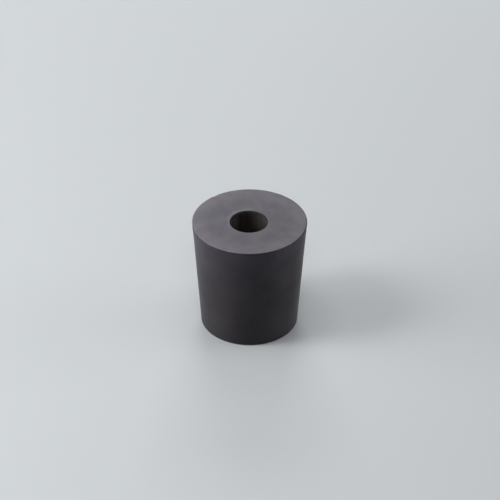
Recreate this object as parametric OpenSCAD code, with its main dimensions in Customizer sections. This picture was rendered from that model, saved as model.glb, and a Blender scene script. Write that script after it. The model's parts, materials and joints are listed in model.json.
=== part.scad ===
// Laboratory rubber stopper with one straight hole, moulded in one piece.
//
// The stopper is a short cone that stands on its narrow end. Its axis is +Z, and the
// origin is the centre of the narrow end face. The body is one revolved half section,
// a four-cornered outline with an arc at each corner: the foot, the rim and the two
// mouths of the hole.

/* [Body] */
// Diameter of the wide end, at its sharp corner before the rim is rounded
wide_d = 30; // [28:0.5:45]
// Diameter of the narrow end, at its sharp corner before the foot is rounded
narrow_d = 25.5; // [18:0.5:28]
// Height from one end face to the other
height = 31; // [15:0.5:60]

/* [Hole] */
// Diameter of the hole, which grips a glass tube or thermometer of this size or a little more
hole_d = 10; // [4:0.5:13]

/* [Edges] */
// Radius of the rim, round the wide end
rim_r = 0.2; // [0.1:0.05:1]
// Radius of the foot, round the narrow end
foot_r = 0.5; // [0.1:0.05:1]
// Radius of the hole's two mouths
mouth_r = 0.2; // [0.1:0.05:0.8]

/* [Hidden] */
$fn = 144;

rubber_colour = [0.21, 0.2, 0.22];

// How deep the tapered side ends inside its two arcs, so that it runs into them
// without leaving a sliver
tuck = 0.0002;

// Corners of the half section, in order round it, and the radius of each one's arc
lower_mouth = 0;
foot = 1;
rim = 2;
upper_mouth = 3;
corners = [
    [hole_d / 2, 0],
    [narrow_d / 2, 0],
    [wide_d / 2, height],
    [hole_d / 2, height],
];
radii = [mouth_r, foot_r, rim_r, mouth_r];

function unit(v) = v / norm(v);

// Directions from corner i along the two sides that meet there
function to_previous(i) = unit(corners[(i + 3) % 4] - corners[i]);
function to_next(i) = unit(corners[(i + 1) % 4] - corners[i]);

// Half of the angle inside corner i
function half_angle(i) = acos(to_previous(i) * to_next(i)) / 2;

// Distance from corner i to the points where its arc meets the two sides
function setback(i) = radii[i] / tan(half_angle(i));

// The two ends of the arc at corner i, and its centre
function arc_start(i) = corners[i] + to_previous(i) * setback(i);
function arc_end(i) = corners[i] + to_next(i) * setback(i);
function arc_centre(i) =
    corners[i] + unit(to_previous(i) + to_next(i)) * radii[i] / sin(half_angle(i));

// Moves a point at the end of an arc a little towards the arc's centre
function tucked(point, centre) = point + unit(centre - point) * tuck;

// Half section of the body, to the right of the axis
module section() {
    polygon([
        arc_start(lower_mouth),
        arc_end(lower_mouth),
        arc_start(foot),
        tucked(arc_end(foot), arc_centre(foot)),
        tucked(arc_start(rim), arc_centre(rim)),
        arc_end(rim),
        arc_start(upper_mouth),
        arc_end(upper_mouth),
    ]);
    for (i = [lower_mouth:upper_mouth])
        translate(arc_centre(i))
            circle(r = radii[i]);
}

// The whole stopper, a single moulding
module stopper() {
    color(rubber_colour)
        rotate_extrude()
            section();
}

stopper();
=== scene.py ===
import json
import math

import bpy
from mathutils import Matrix, Vector, noise


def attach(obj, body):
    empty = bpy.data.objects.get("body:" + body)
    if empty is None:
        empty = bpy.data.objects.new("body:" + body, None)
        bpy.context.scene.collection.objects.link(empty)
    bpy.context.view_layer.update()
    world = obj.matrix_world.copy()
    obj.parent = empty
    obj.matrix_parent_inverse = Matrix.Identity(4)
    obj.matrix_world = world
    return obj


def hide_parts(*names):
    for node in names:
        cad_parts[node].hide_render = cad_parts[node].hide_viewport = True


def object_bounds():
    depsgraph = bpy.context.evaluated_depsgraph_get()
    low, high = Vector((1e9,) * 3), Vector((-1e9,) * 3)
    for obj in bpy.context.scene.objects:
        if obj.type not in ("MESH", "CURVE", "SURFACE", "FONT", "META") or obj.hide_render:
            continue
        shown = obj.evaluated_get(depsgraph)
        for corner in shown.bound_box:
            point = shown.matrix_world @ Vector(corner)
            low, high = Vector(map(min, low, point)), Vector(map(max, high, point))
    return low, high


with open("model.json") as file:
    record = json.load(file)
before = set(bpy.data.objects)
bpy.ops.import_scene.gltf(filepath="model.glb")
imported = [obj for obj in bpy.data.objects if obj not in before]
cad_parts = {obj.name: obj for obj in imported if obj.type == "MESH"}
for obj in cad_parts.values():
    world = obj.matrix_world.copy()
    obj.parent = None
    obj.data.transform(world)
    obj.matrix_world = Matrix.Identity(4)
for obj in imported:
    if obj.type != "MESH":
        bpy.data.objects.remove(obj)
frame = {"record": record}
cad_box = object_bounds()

# A black rubber stopper with one hole, standing on its narrow end. Metres, +Z up, with
# the origin at the centre of the narrow end face.
MM = 0.001

# ---------------------------------------------------------------- driving sizes

record_mounts = {mount["name"]: mount for mount in frame["record"]["mounts"]}

HEIGHT = cad_box[1].z
RIM_REACH = min(cad_box[1].x, cad_box[1].y)
BORE_RADIUS = record_mounts["bore"]["dims"]["r_mm"] * MM
NARROW_RADIUS = 12.75 * MM
RIM_ROUND = 0.2 * MM
FOOT_ROUND = 0.5 * MM
MOUTH_ROUND = 0.2 * MM

# Lean of the side from the axis, and the wide end's radius before its rim is rounded
LEAN = math.atan((RIM_REACH - NARROW_RADIUS) / HEIGHT)
WIDE_RADIUS = RIM_REACH + RIM_ROUND * (math.tan(LEAN) + 1 / math.cos(LEAN) - 1)

# How finely the moulding is meshed
AROUND = 480
STEPS_ON_ROUND = 7
STEPS_ON_SIDE = 50
STEPS_ON_FACE = 26
STEPS_IN_BORE = 30

# ---------------------------------------------------------------- small faults of the moulding

# The hole leans off the axis, by this much at the wide end. That end goes along with it, less
# and less over this distance from its wall.
DRIFT_X = -0.19 * MM
DRIFT_Y = -0.28 * MM
DRIFT_REACH = 2.5 * MM
# The side lies FLARE inside the true cone up to FLARE_START, and from there it flares out to
# the rim. On the narrow end this sets in from ROLL_START out, over FLARE_BLEND.
FLARE = 0.05 * MM
FLARE_START = 27 * MM
FLARE_BLEND = 1.5 * MM
# The wide end falls away by this much from this radius to the rim, as the rubber shrank
ROLL_OFF = 0.07 * MM
ROLL_START = 10.5 * MM
# Waves of the side, the ends and the hole, and chips of the edges: their depth, their length,
# and how many times longer they are along the axis
SIDE_WAVE = (0.035 * MM, 7.5 * MM, 2.0)
FACE_WAVE = (0.015 * MM, 4.5 * MM, 1.0)
BORE_WAVE = (0.02 * MM, 3.0 * MM, 4.0)
EDGE_WAVE = (0.025 * MM, 0.9 * MM, 1.0)
# The waves of the side and of the ends set in over this distance from an edge
SIDE_CALM = 1.5 * MM
FACE_CALM = 1.0 * MM
# Nicks in the rim: turn in degrees anticlockwise from +X, depth, and half width. On the wide
# end they fade out over about this distance.
NICK_REACH = 0.25 * MM
RIM_NICKS = (
    (194, 0.22 * MM, 0.32 * MM),
    (247, 0.07 * MM, 0.45 * MM),
    (318, 0.10 * MM, 0.55 * MM),
    (62, 0.04 * MM, 0.40 * MM),
    (128, 0.08 * MM, 0.60 * MM),
)

# The stretches of the half section, numbered in their order round it. A round comes before
# each straight one, and 0, 2 and 6 are the rounds of the lower mouth, foot and upper mouth.
NARROW_END = 1
SIDE = 3
RIM = 4
WIDE_END = 5
HOLE = 7

# ---------------------------------------------------------------- camera

LENS_MM = 234.0
SENSOR_MM = 36.0
PICTURE_PX = 500
CLIP_START = 0.01
CLIP_END = 10
CAMERA_DISTANCE = 0.8533
CAMERA_ELEVATION = math.radians(34.94)
CAMERA_ROLL = math.radians(0.24)
# Where the middle of the stopper lies in the picture, right of and below its middle
AIM_RIGHT_PX = -0.48
AIM_DOWN_PX = 19.56

# ---------------------------------------------------------------- surroundings

FLOOR_COLOUR = (0.619, 0.646, 0.667)
FLOOR_ROUGHNESS = 0.9
FLOOR_RADIUS = 1.1
FLOOR_RINGS = (0.02, 0.1, 0.4, 0.8)
FLOOR_AROUND = 96
WALL_RADIUS = 1.5
WALL_HEIGHT = 0.55
WALL_BEND_STEPS = 12
WORLD_COLOUR = (0.97, 0.99, 1.0)
WORLD_SHARE = 0.1

# ---------------------------------------------------------------- rubber

# The side is smooth from the mould, and the two ends are paler with bloom. The hole's wall
# is paler with painted light near its mouths. One gloss serves all of them.
SIDE_COLOUR = (0.0189, 0.0167, 0.0193)
FACE_COOL = (0.1440, 0.1405, 0.1590)
FACE_WARM = (0.1520, 0.1435, 0.1595)
SIDE_ROUGHNESS = 0.65
FACE_ROUGHNESS = 0.85
BORE_ROUGHNESS = 0.62
SPECULAR_LEVEL = 0.14
# A faint haze of bloom that shows where a surface is seen edge on
SHEEN_WEIGHT = 0.15
SHEEN_ROUGHNESS = 0.3
# The side gets paler, up to this colour, from this height up to the rim
SIDE_TOP_COLOUR = (0.0265, 0.0233, 0.0299)
SIDE_PALING_START = 14 * MM
# The ends: how much paler they get between these two radii, and how much paler they are
# towards one side, at this turn, than at the middle, as painted light from the lamps at the back
# and left
RIM_PALING = 1.21
RIM_PALING_START = 9 * MM
RIM_PALING_END = 14.4 * MM
PAINTED_LIGHT_LEAN = 0.07
LIT_SIDE_TURN = math.radians(145)
# A paler ring round the hole, painted light on that same side only. It fades in over
# the outer half of its width, and between these shares of the way from the axis to the rim.
MOUTH_PAINTED_LIGHT = 1.25
MOUTH_RING = 1.2 * MM
MOUTH_SIDE = (0.05, 0.3)
# The ends' bloom stops short of the rim, from this radius out, over this width, and further in
# by this much on the side away from the lamps, as painted shade on the rim's round
RIM_SHADE_START = 14.85 * MM
RIM_SHADE_WIDTH = 0.2 * MM
RIM_SHADE_LEAN = 0.2 * MM
# The hole's wall is dark. Near its mouths it is paler with painted light, on a wide strip
# towards +X, which faces the lamps on the left, and a narrow one towards -X, and deeper down
# it fades to painted shade. A strip fades in between two values of the wall's facing, which is
# 1 on the wall at +X and -1 on the wall at -X.
BORE_COLOUR = (0.0380, 0.0285, 0.0260)
BORE_PAINTED_LIGHT = (0.1100, 0.1030, 0.1065)
BORE_PAINTED_LIGHT_DEPTH = 8 * MM
WIDE_STRIP = (-0.1, 0.85)
NARROW_STRIP = (-0.45, -0.75)
# Its first part has one even colour all round, down to this depth
LIP_COLOUR = (0.0500, 0.0470, 0.0490)
LIP_DEPTH = 1.8 * MM
# The painted light and the lip's colour keep their full strength down to this share of their depth
FULL_SHARE = 0.3
# The looks give way to each other on the rounds. The ends' look comes in between two values
# of how squarely the surface faces up or down, and the hole's look between two values of how
# squarely it faces away from the axis, which is -1 on the hole's wall.
END_FACING = (0.45, 0.9)
HOLE_FACING = (-0.5, -0.9)

# Soft patches: the size of their lumps, the detail of their noise, how far from its middle
# the noise is cut off, and the values that they run between
SIDE_CLOUDS = (9 * MM, 3.0, 0.15, 0.86, 1.14)
FACE_CLOUDS = (3.2 * MM, 4.0, 0.2, 0.93, 1.07)
FACE_WARMTH = (6 * MM, 2.0, 0.15, 0.0, 1.0)
SIDE_SMUDGES = (5 * MM, 4.0, 0.15, SIDE_ROUGHNESS - 0.05, SIDE_ROUGHNESS + 0.05)
FACE_SMUDGES = (2.2 * MM, 3.0, 0.2, FACE_ROUGHNESS - 0.05, FACE_ROUGHNESS + 0.05)
# The line where the ends' bloom stops is broken by this much
EDGE_BREAKS = (1.8 * MM, 3.0, 0.2, -0.06, 0.06)
# The same last three values for how the grain of the ends and the hole's streaks are shaded
FACE_GRAIN_SHADE = (0.3, 0.94, 1.06)
STREAKS_SHADE = (0.2, 0.88, 1.12)

# Fine marks: the size of their lumps, their height, and how lines are drawn out along the
# axis. The side and the hole share the grain of the mould.
MOULD_GRAIN = 0.16 * MM
MOULD_GRAIN_HEIGHT = 0.010 * MM
FACE_GRAIN = 0.14 * MM
FACE_GRAIN_HEIGHT = 0.012 * MM
DRAW_LINES = 0.55 * MM
DRAW_LINES_HEIGHT = 0.008 * MM
DRAW_LINES_STRETCH = (1, 1, 0.04)
STREAKS = 0.7 * MM
STREAKS_HEIGHT = 0.012 * MM
STREAKS_STRETCH = (1, 1, 0.08)
# Specks of dust on the side and pits in the ends: the size of their noise, its values where
# a speck starts and where it is full, and how strongly it colours the surface
SPECK_DETAIL = 1.0
DUST = 0.30 * MM
DUST_EDGE = (0.72, 0.80)
DUST_COLOUR = (0.0945, 0.0835, 0.0965)
DUST_SHARE = 0.35
PITS = 0.34 * MM
PITS_EDGE = (0.30, 0.22)
PITS_SHARE = 0.5
PITS_HEIGHT = -0.02 * MM

# Numbers of the Mix node's sockets, which share their names: two inputs and the output
FLOAT_SOCKETS = (2, 3, 0)
COLOUR_SOCKETS = (6, 7, 2)


def camera():
    """The camera at the photograph's angle, aimed so that the stopper lies in its place."""
    made = bpy.data.objects.new("camera", bpy.data.cameras.new("camera"))
    bpy.context.scene.collection.objects.link(made)
    made.data.sensor_width = SENSOR_MM
    made.data.lens = LENS_MM
    made.data.clip_start = CLIP_START
    made.data.clip_end = CLIP_END
    back = Vector((0, -math.cos(CAMERA_ELEVATION), math.sin(CAMERA_ELEVATION)))
    right = Vector((1, 0, 0))
    up = back.cross(right)
    metres_per_px = CAMERA_DISTANCE * SENSOR_MM / LENS_MM / PICTURE_PX
    place = Vector((0, 0, HEIGHT / 2)) + back * CAMERA_DISTANCE
    place -= right * AIM_RIGHT_PX * metres_per_px
    place += up * AIM_DOWN_PX * metres_per_px
    facing = Matrix((right, up, back)).transposed().to_4x4()
    roll = Matrix.Rotation(CAMERA_ROLL, 4, "Z")
    made.matrix_world = Matrix.Translation(place) @ facing @ roll
    bpy.context.scene.camera = made


def mesh_object(name, vertices, faces):
    """A smooth-shaded object of these vertices and faces, in the scene."""
    mesh = bpy.data.meshes.new(name)
    mesh.from_pydata(vertices, [], faces)
    mesh.polygons.foreach_set("use_smooth", [True] * len(faces))
    mesh.update()
    made = bpy.data.objects.new(name, mesh)
    bpy.context.scene.collection.objects.link(made)
    return made


def arc(centre, radius, start, end, steps):
    """Points (r, z) along an arc, from one angle in degrees to another."""
    points = []
    for i in range(steps + 1):
        angle = math.radians(start + (end - start) * i / steps)
        r = centre[0] + radius * math.cos(angle)
        z = centre[1] + radius * math.sin(angle)
        points.append((r, z))
    return points


# ---------------------------------------------------------------- node helpers


class Shader:
    """A material, with short calls for the nodes that this script uses."""

    def __init__(self, name):
        self.material = bpy.data.materials.new(name)
        self.material.use_nodes = True
        self.tree = self.material.node_tree
        self.surface = self.tree.nodes["Principled BSDF"]
        where = self.node("ShaderNodeTexCoord")
        self.place = where.outputs["Object"]
        self.normal = where.outputs["Normal"]

    def node(self, kind, **settings):
        """A new node of this kind, with these settings."""
        made = self.tree.nodes.new(kind)
        for key, value in settings.items():
            setattr(made, key, value)
        return made

    def feed(self, socket, value):
        """Links a socket's value, or sets a plain one."""
        if isinstance(value, bpy.types.NodeSocket):
            self.tree.links.new(value, socket)
        else:
            socket.default_value = value

    def noise(self, size, detail=2.0, stretch=(1, 1, 1)):
        """Soft noise from 0 to 1 whose lumps are about size across, in metres."""
        made = self.node("ShaderNodeTexNoise")
        place = self.place
        if stretch != (1, 1, 1):
            scaled = self.node("ShaderNodeVectorMath", operation="MULTIPLY")
            self.feed(scaled.inputs[0], place)
            scaled.inputs[1].default_value = stretch
            place = scaled.outputs["Vector"]
        self.feed(made.inputs["Vector"], place)
        made.inputs["Scale"].default_value = 1 / size
        made.inputs["Detail"].default_value = detail
        return made.outputs["Fac"]

    def remap(self, value, low, high, to_low=0.0, to_high=1.0):
        """A value's range from low to high, eased into the range from to_low to to_high."""
        made = self.node("ShaderNodeMapRange", interpolation_type="SMOOTHSTEP")
        self.feed(made.inputs["Value"], value)
        made.inputs["From Min"].default_value = low
        made.inputs["From Max"].default_value = high
        made.inputs["To Min"].default_value = to_low
        made.inputs["To Max"].default_value = to_high
        return made.outputs["Result"]

    def spread(self, pattern, reach, low, high):
        """A pattern, cut off at reach to either side of its middle, from low to high."""
        return self.remap(pattern, 0.5 - reach, 0.5 + reach, low, high)

    def patches(self, size, detail, reach, low, high):
        """Soft noise whose lumps are about size across, spread from low to high."""
        return self.spread(self.noise(size, detail), reach, low, high)

    def maths(self, operation, a, b=0.0, c=0.0):
        """The result of a Math node's operation."""
        made = self.node("ShaderNodeMath", operation=operation)
        for socket, value in zip(made.inputs, (a, b, c)):
            self.feed(socket, value)
        return made.outputs["Value"]

    def blend(self, factor, a, b):
        """Value a where factor is 0, b where it is 1."""
        made = self.node("ShaderNodeMix", data_type="FLOAT")
        first, second, result = FLOAT_SOCKETS
        self.feed(made.inputs["Factor"], factor)
        self.feed(made.inputs[first], a)
        self.feed(made.inputs[second], b)
        return made.outputs[result]

    def scaled(self, colour, level):
        """A colour, each channel multiplied by level."""
        made = self.node("ShaderNodeVectorMath", operation="SCALE")
        self.feed(made.inputs[0], colour)
        self.feed(made.inputs["Scale"], level)
        return made.outputs["Vector"]

    def mix(self, factor, a, b):
        """Colour a where factor is 0, b where it is 1."""
        made = self.node("ShaderNodeMix", data_type="RGBA")
        first, second, result = COLOUR_SOCKETS
        self.feed(made.inputs["Factor"], factor)
        for number, colour in ((first, a), (second, b)):
            plain = isinstance(colour, tuple)
            self.feed(made.inputs[number], (*colour, 1) if plain else colour)
        return made.outputs[result]

    def dot(self, a, b):
        """The dot product of two vectors."""
        made = self.node("ShaderNodeVectorMath", operation="DOT_PRODUCT")
        self.feed(made.inputs[0], a)
        self.feed(made.inputs[1], b)
        return made.outputs["Value"]

    def height_up(self):
        """How high the point is above the narrow end, in metres."""
        return self.dot(self.place, (0, 0, 1))

    def from_axis(self):
        """The flat vector from the stopper's axis to this point, and its length."""
        flat = self.node("ShaderNodeVectorMath", operation="MULTIPLY")
        self.feed(flat.inputs[0], self.place)
        flat.inputs[1].default_value = (1, 1, 0)
        length = self.node("ShaderNodeVectorMath", operation="LENGTH")
        self.feed(length.inputs[0], flat.outputs["Vector"])
        return flat.outputs["Vector"], length.outputs["Value"]

    def relief(self, *layers):
        """The height, in metres, of layers of a pattern and its height."""
        total = 0.0
        for pattern, height in layers:
            total = self.maths("MULTIPLY_ADD", pattern, height, total)
        return total

    def bump(self, height):
        """The normal of a surface raised by height, in metres."""
        made = self.node("ShaderNodeBump")
        made.inputs["Distance"].default_value = 1.0
        self.feed(made.inputs["Height"], height)
        return made.outputs["Normal"]


# ---------------------------------------------------------------- floor and light


def floor():
    """A round floor that runs up into a low wall without an edge."""
    bend = WALL_RADIUS - FLOOR_RADIUS
    profile = [(r, 0) for r in FLOOR_RINGS]
    profile += arc((FLOOR_RADIUS, bend), bend, -90, 0, WALL_BEND_STEPS)
    profile.append((WALL_RADIUS, WALL_HEIGHT))
    vertices = [(0, 0, 0)]
    for i in range(FLOOR_AROUND):
        angle = 2 * math.pi * i / FLOOR_AROUND
        vertices += [(r * math.cos(angle), r * math.sin(angle), z) for r, z in profile]
    count = len(profile)
    faces = []
    for i in range(FLOOR_AROUND):
        here = 1 + i * count
        there = 1 + (i + 1) % FLOOR_AROUND * count
        faces.append((0, here, there))
        faces += [(here + k, here + k + 1, there + k + 1, there + k) for k in range(count - 1)]
    made = mesh_object("floor", vertices, faces)
    shader = Shader("pale_paper")
    shader.surface.inputs["Base Color"].default_value = (*FLOOR_COLOUR, 1)
    shader.surface.inputs["Roughness"].default_value = FLOOR_ROUGHNESS
    shader.surface.inputs["Specular IOR Level"].default_value = 0.0
    made.data.materials.append(shader.material)


def softbox(name, turn, elevation, distance, width, height, share):
    """A soft lamp that faces the stopper and gives that share of the floor's light.

    turn is in degrees anticlockwise from +X, seen from above.
    """
    lamp = bpy.data.lights.new(name, "AREA")
    lamp.shape = "RECTANGLE"
    lamp.size = width
    lamp.size_y = height
    around = math.radians(turn)
    up = math.radians(elevation)
    lamp.energy = share * math.pi**2 * distance**2 / math.sin(up)
    flat = math.cos(up)
    out = Vector((math.cos(around) * flat, math.sin(around) * flat, math.sin(up)))
    made = bpy.data.objects.new(name, lamp)
    bpy.context.scene.collection.objects.link(made)
    made.location = out * distance
    made.rotation_mode = "QUATERNION"
    made.rotation_quaternion = out.to_track_quat("Z", "Y")
    made.visible_camera = False


def lights():
    """The lamps round the stopper, and the faint even light of the world."""
    softbox("key", turn=192, elevation=47, distance=0.45, width=0.1, height=0.14, share=0.17)
    softbox("left", turn=190, elevation=12, distance=0.5, width=0.35, height=0.1, share=0.083)
    softbox("low_left", turn=181, elevation=3.5, distance=0.6, width=0.45, height=0.06, share=0.077)
    softbox("back", turn=91, elevation=30, distance=0.6, width=0.28, height=0.18, share=0.155)
    softbox("high_back", turn=90, elevation=62, distance=0.8, width=0.3, height=0.28, share=0.045)
    softbox("right", turn=4, elevation=4.5, distance=1.0, width=0.7, height=0.1, share=0.057)
    softbox("high_right", turn=0, elevation=80, distance=0.8, width=0.3, height=0.28, share=0.07)
    softbox("overhead", turn=180, elevation=82, distance=0.8, width=0.34, height=0.28, share=0.13)
    softbox("front", turn=270, elevation=50, distance=0.8, width=0.25, height=0.2, share=0.105)
    world = bpy.data.worlds.new("world")
    world.use_nodes = True
    background = world.node_tree.nodes["Background"]
    background.inputs["Color"].default_value = (*WORLD_COLOUR, 1)
    background.inputs["Strength"].default_value = WORLD_SHARE
    bpy.context.scene.world = world


# ---------------------------------------------------------------- the moulding


def straight(start, end, steps):
    """Points along a straight stretch, without its two ends."""
    points = []
    for i in range(1, steps):
        share = i / steps
        r = start[0] + (end[0] - start[0]) * share
        z = start[1] + (end[1] - start[1]) * share
        points.append((r, z))
    return points


def section():
    """Points (r, z) round the half section, and the index of the stretch that each is on."""
    lean = math.degrees(LEAN)
    foot_x = NARROW_RADIUS + FOOT_ROUND * (math.tan(LEAN) - 1 / math.cos(LEAN))
    rim_x = WIDE_RADIUS - RIM_ROUND * (math.tan(LEAN) + 1 / math.cos(LEAN))
    mouth_x = BORE_RADIUS + MOUTH_ROUND
    rounds = [
        arc((mouth_x, MOUTH_ROUND), MOUTH_ROUND, 180, 270, STEPS_ON_ROUND),
        arc((foot_x, FOOT_ROUND), FOOT_ROUND, -90, -lean, STEPS_ON_ROUND),
        arc((rim_x, HEIGHT - RIM_ROUND), RIM_ROUND, -lean, 90, STEPS_ON_ROUND),
        arc((mouth_x, HEIGHT - MOUTH_ROUND), MOUTH_ROUND, 90, 180, STEPS_ON_ROUND),
    ]
    steps = [STEPS_ON_FACE, STEPS_ON_SIDE, STEPS_ON_FACE, STEPS_IN_BORE]
    points, stretch = [], []
    for i, turn in enumerate(rounds):
        after = rounds[(i + 1) % 4]
        run = straight(turn[-1], after[0], steps[i])
        points += turn + run
        stretch += [2 * i] * len(turn) + [2 * i + 1] * len(run)
    return points, stretch


def facing(points):
    """The outward direction (r, z) of the section at each of its points."""
    directions = []
    for k, (r, z) in enumerate(points):
        before, after = points[k - 1], points[(k + 1) % len(points)]
        direction = Vector((after[1] - before[1], before[0] - after[0]))
        directions.append(direction.normalized())
    return directions


def wave(place, depth, length, stretch):
    """A soft wave from 0 to the given depth; stretch lengthens it along the axis."""
    spot = Vector((place[0], place[1], place[2] / stretch)) / length
    return depth * (0.5 + 0.5 * noise.noise(spot))


def nick(turn, r):
    """Depth of the rim's nicks at this turn in degrees."""
    depth = 0
    for at, deepest, half_width in RIM_NICKS:
        aside = math.radians(turn - at) * r / half_width
        depth += deepest * math.exp(-aside * aside)
    return depth


def worn(place, turn, kind):
    """How far the point of this stretch of the section lies below the true form."""
    x, y, z = place
    r = math.hypot(x, y)
    if kind == SIDE:
        from_edge = min(z, HEIGHT - z) / SIDE_CALM
        return wave(place, *SIDE_WAVE) * min(1, from_edge)
    if kind in (NARROW_END, WIDE_END):
        from_edge = min(r - BORE_RADIUS, WIDE_RADIUS - r) / FACE_CALM
        depth = wave(place, *FACE_WAVE) * min(1, max(0, from_edge))
        if kind == WIDE_END:
            depth += nick(turn, r) * math.exp(-max(0, RIM_REACH - r) / NICK_REACH)
        return depth
    if kind == HOLE:
        return wave(place, *BORE_WAVE)
    if kind == RIM:
        return wave(place, *EDGE_WAVE) + nick(turn, r)
    return wave(place, *EDGE_WAVE)


def stopper():
    """The moulding: the section turned round the axis, worn, leaning and shrunk."""
    points, stretch = section()
    directions = facing(points)
    count = len(points)
    vertices, faces = [], []
    for i in range(AROUND):
        turn = 360 * i / AROUND
        cosine = math.cos(math.radians(turn))
        sine = math.sin(math.radians(turn))
        for (r, z), out, kind in zip(points, directions, stretch):
            depth = worn((r * cosine, r * sine, z), turn, kind)
            r -= out[0] * depth
            z -= out[1] * depth
            drift = min(1, max(0, 1 - (r - BORE_RADIUS) / DRIFT_REACH)) * z / HEIGHT
            below = min(1, (HEIGHT - z) / (HEIGHT - FLARE_START))
            outer = min(1, max(0, r - ROLL_START) / FLARE_BLEND)
            roll = max(0, (r - ROLL_START) / (RIM_REACH - ROLL_START))
            r -= FLARE * outer * below**2
            z -= ROLL_OFF * roll**2 * z / HEIGHT
            vertices.append((r * cosine + DRIFT_X * drift, r * sine + DRIFT_Y * drift, z))
    for i in range(AROUND):
        here = i * count
        there = (i + 1) % AROUND * count
        for k in range(count):
            after = (k + 1) % count
            faces.append((here + k, there + k, there + after, here + after))
    made = mesh_object("stopper_moulding", vertices, faces)
    made.data.materials.append(rubber())
    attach(made, "root")
    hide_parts("stopper")


def side_look(shader):
    """Colour, roughness and height of the moulded side: fine grain, draw lines and dust."""
    drawn = shader.noise(DRAW_LINES, stretch=DRAW_LINES_STRETCH)
    grain = shader.noise(MOULD_GRAIN)
    dust = shader.remap(shader.noise(DUST, SPECK_DETAIL), *DUST_EDGE)
    climb = shader.remap(shader.height_up(), SIDE_PALING_START, HEIGHT)
    colour = shader.mix(climb, SIDE_COLOUR, SIDE_TOP_COLOUR)
    colour = shader.scaled(colour, shader.patches(*SIDE_CLOUDS))
    colour = shader.mix(shader.maths("MULTIPLY", dust, DUST_SHARE), colour, DUST_COLOUR)
    rough = shader.patches(*SIDE_SMUDGES)
    height = shader.relief((grain, MOULD_GRAIN_HEIGHT), (drawn, DRAW_LINES_HEIGHT))
    return colour, rough, height


def end_paling_and_painted_light(shader, from_axis, towards):
    """How much paler than plain the ends are: towards the rim, and with painted light to one side
    and round the hole.
    """
    rim = shader.remap(from_axis, RIM_PALING_START, RIM_PALING_END, 1.0, RIM_PALING)
    # Painted light: the ends are paler on the side towards the lamps
    lean = shader.maths("MULTIPLY_ADD", towards, PAINTED_LIGHT_LEAN, 1.0)
    # Painted light: a paler ring round the hole on the side towards the lamps
    ring_edge = BORE_RADIUS + MOUTH_RING
    ring = shader.remap(from_axis, ring_edge, ring_edge - 0.5 * MOUTH_RING)
    ring = shader.maths("MULTIPLY", ring, shader.remap(towards, *MOUTH_SIDE))
    mouth = shader.remap(ring, 0.0, 1.0, 1.0, MOUTH_PAINTED_LIGHT)
    return shader.maths("MULTIPLY", shader.maths("MULTIPLY", rim, lean), mouth)


def face_look(shader, from_axis, towards):
    """Colour, roughness and height of the ends: cloudy bloom, painted light to one side, grain and
    pits.
    """
    grain = shader.noise(FACE_GRAIN)
    pits = shader.remap(shader.noise(PITS, SPECK_DETAIL), *PITS_EDGE)
    level = end_paling_and_painted_light(shader, from_axis, towards)
    level = shader.maths("MULTIPLY", level, shader.patches(*FACE_CLOUDS))
    level = shader.maths("MULTIPLY", level, shader.spread(grain, *FACE_GRAIN_SHADE))
    colour = shader.mix(shader.patches(*FACE_WARMTH), FACE_COOL, FACE_WARM)
    colour = shader.scaled(colour, level)
    colour = shader.mix(shader.maths("MULTIPLY", pits, PITS_SHARE), colour, SIDE_COLOUR)
    rough = shader.patches(*FACE_SMUDGES)
    height = shader.relief((grain, FACE_GRAIN_HEIGHT), (pits, PITS_HEIGHT))
    return colour, rough, height


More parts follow.
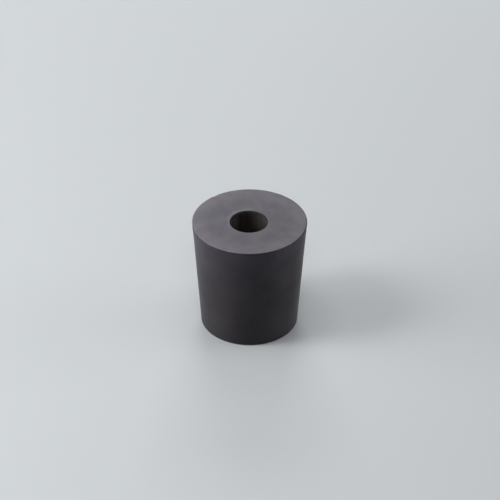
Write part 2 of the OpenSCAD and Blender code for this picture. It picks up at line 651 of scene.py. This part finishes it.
def bore_look(shader):
    """Colour, roughness and height of the hole's wall: faint lengthwise streaks, and painted light
    near the mouths.
    """
    streaks = shader.noise(STREAKS, stretch=STREAKS_STRETCH)
    grain = shader.noise(MOULD_GRAIN)
    climb = shader.height_up()
    depth = shader.maths("MINIMUM", climb, shader.maths("SUBTRACT", HEIGHT, climb))
    across = shader.dot(shader.normal, (-1, 0, 0))
    wide = shader.remap(across, *WIDE_STRIP)
    narrow = shader.remap(across, *NARROW_STRIP)
    fade = shader.remap(depth, BORE_PAINTED_LIGHT_DEPTH, FULL_SHARE * BORE_PAINTED_LIGHT_DEPTH)
    # Painted light near the mouths, on the walls that face the lamps, fading to painted shade with
    # depth
    painted_light = shader.maths("MULTIPLY", shader.maths("MAXIMUM", wide, narrow), fade)
    below_lip = shader.remap(depth, FULL_SHARE * LIP_DEPTH, LIP_DEPTH)
    colour = shader.mix(painted_light, BORE_COLOUR, BORE_PAINTED_LIGHT)
    colour = shader.mix(below_lip, LIP_COLOUR, colour)
    colour = shader.scaled(colour, shader.spread(streaks, *STREAKS_SHADE))
    height = shader.relief((grain, MOULD_GRAIN_HEIGHT), (streaks, STREAKS_HEIGHT))
    return colour, BORE_ROUGHNESS, height


def rubber():
    """The moulding's one material: three looks, blended on the rounds where two meet."""
    shader = Shader("black_rubber")
    flat, from_axis = shader.from_axis()
    outward = shader.maths("DIVIDE", shader.dot(shader.normal, flat), from_axis)
    upright = shader.maths("ABSOLUTE", shader.dot(shader.normal, (0, 0, 1)))
    # The ends' bloom stops on the rounds, along a broken line
    broken = shader.patches(*EDGE_BREAKS)
    on_end = shader.remap(shader.maths("ADD", upright, broken), *END_FACING)
    # The side towards the lamps at the back and left, to which the painted light and shade lean
    lit_side = (math.cos(LIT_SIDE_TURN) / RIM_REACH, math.sin(LIT_SIDE_TURN) / RIM_REACH, 0)
    towards = shader.dot(shader.place, lit_side)
    # Painted shade: the ends' pale look stops short of the rim, furthest in on the side away from
    # the lamps
    rim_shade_reach = shader.maths("MULTIPLY_ADD", towards, -RIM_SHADE_LEAN, from_axis)
    outside_rim_shade = shader.remap(rim_shade_reach, RIM_SHADE_START + RIM_SHADE_WIDTH, RIM_SHADE_START)
    on_end = shader.maths("MULTIPLY", on_end, outside_rim_shade)
    in_hole = shader.remap(outward, *HOLE_FACING)
    side = side_look(shader)
    face = face_look(shader, from_axis, towards)
    bore = bore_look(shader)
    surface = shader.surface
    surface.inputs["Specular IOR Level"].default_value = SPECULAR_LEVEL
    surface.inputs["Sheen Weight"].default_value = SHEEN_WEIGHT
    surface.inputs["Sheen Roughness"].default_value = SHEEN_ROUGHNESS
    colour = shader.mix(in_hole, shader.mix(on_end, side[0], face[0]), bore[0])
    rough = shader.blend(in_hole, shader.blend(on_end, side[1], face[1]), bore[1])
    height = shader.blend(in_hole, shader.blend(on_end, side[2], face[2]), bore[2])
    shader.feed(surface.inputs["Base Color"], colour)
    shader.feed(surface.inputs["Roughness"], rough)
    shader.feed(surface.inputs["Normal"], shader.bump(height))
    return shader.material


camera()
floor()
lights()
stopper()
bpy.context.scene.view_settings.view_transform = "Standard"
